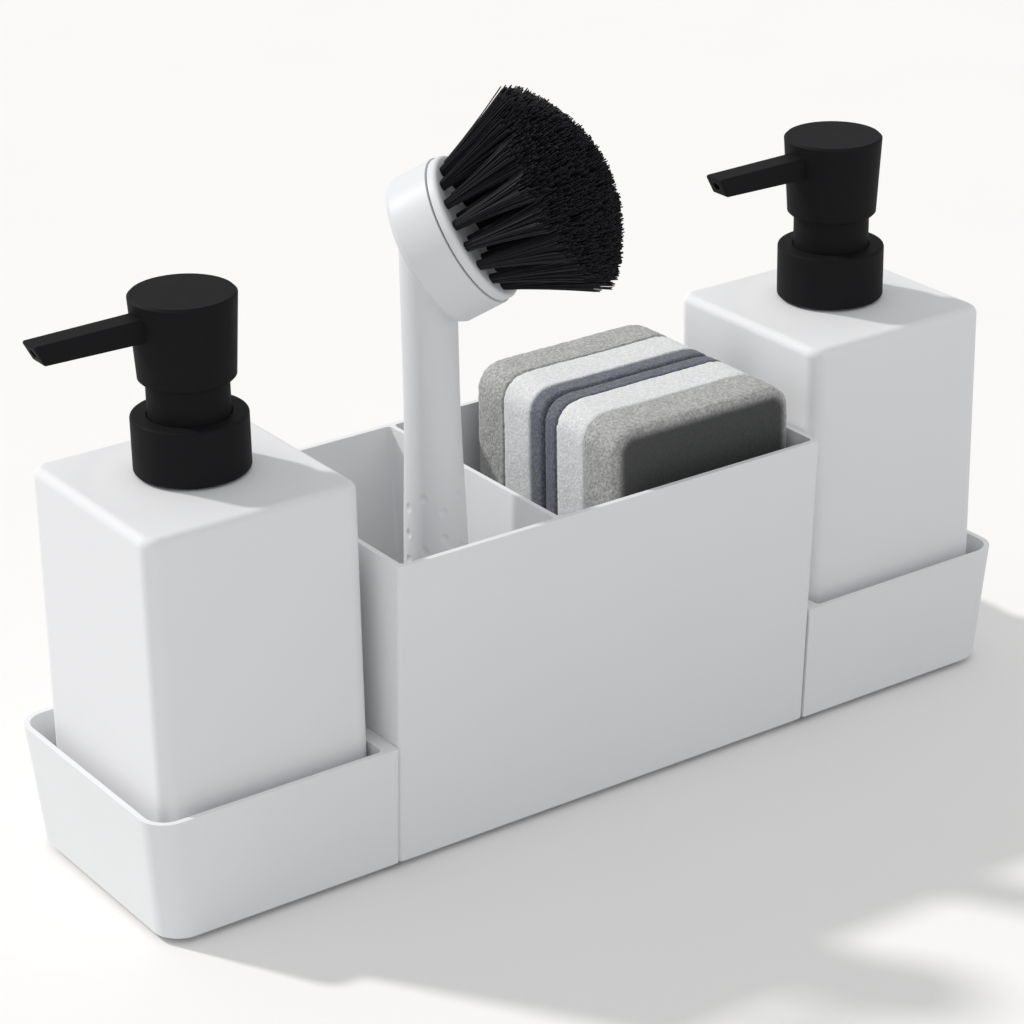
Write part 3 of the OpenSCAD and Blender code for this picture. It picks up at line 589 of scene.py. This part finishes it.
tip_place, tuft_spot = (
    tufts.node("GeometryNodeInputNamedAttribute", {"data_type": "FLOAT_VECTOR"},
               {"Name": name}) for name in ("tip", "spot"))
rods = tufts.node("GeometryNodeExtrudeMesh", {"mode": "VERTICES"}, {
    "Mesh": rooted, "Offset": tip_place - tufts.node("GeometryNodeInputPosition")})
strands = tufts.node("GeometryNodeResampleCurve", None, {
    "Curve": tufts.node("GeometryNodeMeshToCurve", None, {"Mesh": rods}),
    "Count": STRAND_POINTS})
along = tufts.node("GeometryNodeSplineParameter")
swing = tufts.node("ShaderNodeTexNoise", {"noise_dimensions": "3D"}, {
    "Vector": tip_place, "Scale": BOWS_PER_METRE, "Detail": 1.0}, output="Color")
bow = tufts.node("ShaderNodeVectorMath", {"operation": "SUBTRACT"}, {
    0: swing, 1: (0.5, 0.5, 0.5)})
flare = ((tufts.given("Tuft radius") - tufts.given("Tip radius")) * tufts.given("Late flare")
         * (along - along * along))
bowed = tufts.node("GeometryNodeSetPosition", None, {
    "Geometry": strands,
    "Offset": bow * (along * along * tufts.given("Bow") * 2) + tuft_spot * flare})
strand_section = tufts.node("GeometryNodeCurvePrimitiveCircle", None, {
    "Resolution": STRAND_SIDES, "Radius": 1.0})
solid_strands = tufts.node("GeometryNodeCurveToMesh", None, {
    "Curve": bowed, "Profile Curve": strand_section, "Fill Caps": True,
    "Scale": tufts.given("Root thickness") * (1 - along) + tufts.given("Tip thickness") * along})
bristle_mesh = tufts.result(tuft_spots, solid_strands, nylon)
bristle_mesh.transform(head_place @ Matrix.Translation((0, 0, PLATE_FACE)))
bristle_mesh.shade_smooth()
add_piece("bristle_tufts", bristle_mesh, "brush", nylon, "bristles")


# Sponges.
# Each is three slabs of foam laminated by flame: a coarse grey scouring layer, a soft white
# core and a thin slate-coloured layer. The blocks are die-cut, so their corners are round,
# and open cells show all over the cut skin.
VOXEL = 0.0008
CELLS_PER_WEB = 0.8
CELLS_PER_CLOUD = 6
CELL_MIDDLE = 0.45
WEB_WEIGHT = 2.2
CLOUD_WEIGHT = 0.3
CELL_SOFTNESS = 0.4
WAVES_PER_METRE = 60.0
WAVE_REST = 0.6


def foam(name, dark, light, cell, depth, speckle):
    """Open-cell foam: cells as dark pits, a fine web between them and slow clouding."""
    finish = Finish(name, {"Specular IOR Level": 0.2, "Sheen Weight": 0.15})
    cells = finish.node("ShaderNodeTexVoronoi", {"feature": "F1"}, {
        "Vector": finish.place, "Scale": 1 / cell})
    web = finish.noise(cell * CELLS_PER_WEB, roughness=0.6)
    cloud = finish.noise(cell * CELLS_PER_CLOUD)
    share = ((cells - CELL_MIDDLE) * speckle + (web - 0.5) * (speckle * WEB_WEIGHT)
             + (cloud - 0.5) * CLOUD_WEIGHT + 0.5)
    finish.colour = finish.tint(share, dark, light)
    finish.vary(
        Base_Color=finish.colour,
        Roughness=web * 0.1 + 0.86,
        Normal=finish.bump(cells * 0.6 + web * 0.4, depth))
    return finish


# The outer faces of the grey layers, the front of the front sponge and the back of the rear
# one, are coloured dark from a little inside the rounded rims, fading out towards them, and
# no deeper than the foam's nap.
DARK_FACE_CORNER = 0.0085
DARK_FACE_RIM = (0.0008, 0.0048)
DARK_FACE_DEPTH = (0.0016, 0.0006)
DARK_FACE_MOTTLE = 0.0009
DARK_FACE_LOW = (0.05, 0.052, 0.05)
DARK_FACE_HIGH = (0.09, 0.092, 0.09)
grey_foam = foam(
    "foam_grey", (0.25, 0.255, 0.245), (0.6, 0.605, 0.59), 0.001, 0.00022, 0.7)
pair_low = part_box("sponge_front_grey")[0]
pair_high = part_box("sponge_rear_grey")[1]
pair_middle = (pair_low + pair_high) / 2
pair_half = (pair_high - pair_low) / 2
from_middle = grey_foam.node("ShaderNodeVectorMath", {"operation": "ABSOLUTE"}, {
    0: grey_foam.place - pair_middle})
past_corner = grey_foam.node("ShaderNodeVectorMath", {"operation": "MAXIMUM"}, {
    0: from_middle - Vector((pair_half.x - DARK_FACE_CORNER, pair_half.y,
                             pair_half.z - DARK_FACE_CORNER)),
    1: (0, 0, 0)})
rim_distance = DARK_FACE_CORNER - grey_foam.node(
    "ShaderNodeVectorMath", {"operation": "LENGTH"}, {0: past_corner}, output="Value")
face_distance = pair_half.y - grey_foam.node(
    "ShaderNodeSeparateXYZ", None, {"Vector": from_middle}, output="Y")
dark_face_share = grey_foam.node("ShaderNodeMapRange", {"interpolation_type": "SMOOTHSTEP"}, {
    "Value": rim_distance, "From Min": DARK_FACE_RIM[0], "From Max": DARK_FACE_RIM[1]}
) * grey_foam.node("ShaderNodeMapRange", None, {
    "Value": face_distance, "From Min": DARK_FACE_DEPTH[0], "From Max": DARK_FACE_DEPTH[1]})
dark_face_colour = grey_foam.tint(grey_foam.noise(DARK_FACE_MOTTLE), DARK_FACE_LOW, DARK_FACE_HIGH)
# Lays the mottled dark colour over the grey foam on those outer faces.
grey_foam.vary(Base_Color=grey_foam.tint(dark_face_share, grey_foam.colour, dark_face_colour))

# Each layer's finish, its slot, the side of its blurred edges in Y for the rear sponge, and
# the sizes of its skin.
FOAMS = {
    "grey": (grey_foam, "sponge_grey", 1,
             {"Cell size": 0.0018, "Cell depth": 0.00018, "Swell": 0.0006, "Edge blur": 22,
              "Seed": 1}),
    "white": (foam("foam_white", (0.68, 0.695, 0.705), (0.9, 0.91, 0.915), 0.0009, 0.0002, 0.8),
              "sponge_white", 0,
              {"Cell size": 0.0016, "Cell depth": 0.00014, "Swell": 0.0006, "Edge blur": 3,
               "Seed": 2}),
    "slate": (foam("foam_slate", (0.085, 0.095, 0.12), (0.2, 0.21, 0.245), 0.0009, 0.0002, 0.8),
              "sponge_slate", -1,
              {"Cell size": 0.0015, "Cell depth": 0.00014, "Swell": 0.0006, "Edge blur": 8,
               "Seed": 3}),
}


def foam_slab(node, finish, sizes, outer):
    """The node's block with a cellular skin. Its edges on the outer side in Y are rounded by
    blurring, or all of them if outer is 0, and its flanks wave softly, in step with the
    layers beside it."""
    soft = applied(
        joined_copy(node, merge_flats=False),
        ("REMESH", {"mode": "VOXEL", "voxel_size": VOXEL, "use_smooth_shade": True}),
        ("SMOOTH", {"factor": 0.5, "iterations": 2}))
    low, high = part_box(node)
    inner_y, outer_y = (low.y, high.y) if outer > 0 else (high.y, low.y)
    skin = Build(node + "_cells", sizes)
    here = skin.node("GeometryNodeInputPosition")
    blurred = skin.node("GeometryNodeBlurAttribute", {"data_type": "FLOAT_VECTOR"}, {
        "Value": here, "Iterations": skin.given("Edge blur")})
    near_face = skin.node("ShaderNodeMapRange", None, {
        "Value": skin.node("ShaderNodeSeparateXYZ", None, {"Vector": here}, output="Y"),
        "From Min": inner_y, "From Max": outer_y})
    rounded = skin.node("GeometryNodeSetPosition", None, {
        "Geometry": skin.given("Geometry"),
        "Offset": (blurred - here) * (near_face if outer else 1.0)})
    cells = skin.node("ShaderNodeTexVoronoi", {"feature": "SMOOTH_F1"}, {
        "Vector": here * (1 / skin.given("Cell size")) + skin.given("Seed"), "Scale": 1.0,
        "Smoothness": CELL_SOFTNESS})
    wave = skin.node("ShaderNodeTexNoise", None, {
        "Vector": here, "Scale": WAVES_PER_METRE, "Detail": 1.0})
    outwards = skin.node("GeometryNodeInputNormal")
    facing = skin.node("ShaderNodeMath", {"operation": "ABSOLUTE"}, {
        0: skin.node("ShaderNodeSeparateXYZ", None, {"Vector": outwards}, output="Y")})
    lift = ((cells - 0.5) * skin.given("Cell depth") * 2
            + (wave - WAVE_REST) * (1 - facing) * skin.given("Swell"))
    moved = skin.node("GeometryNodeSetPosition", None, {
        "Geometry": rounded, "Offset": outwards * lift})
    return skin.result(soft, moved, finish)


for place, side in (("front", -1), ("rear", 1)):
    for layer, (finish, slot, outer, sizes) in FOAMS.items():
        node = f"sponge_{place}_{layer}"
        slab = add_piece(f"foam_{place}_{layer}", foam_slab(node, finish, sizes, side * outer),
                         place + "_sponge", finish, node)
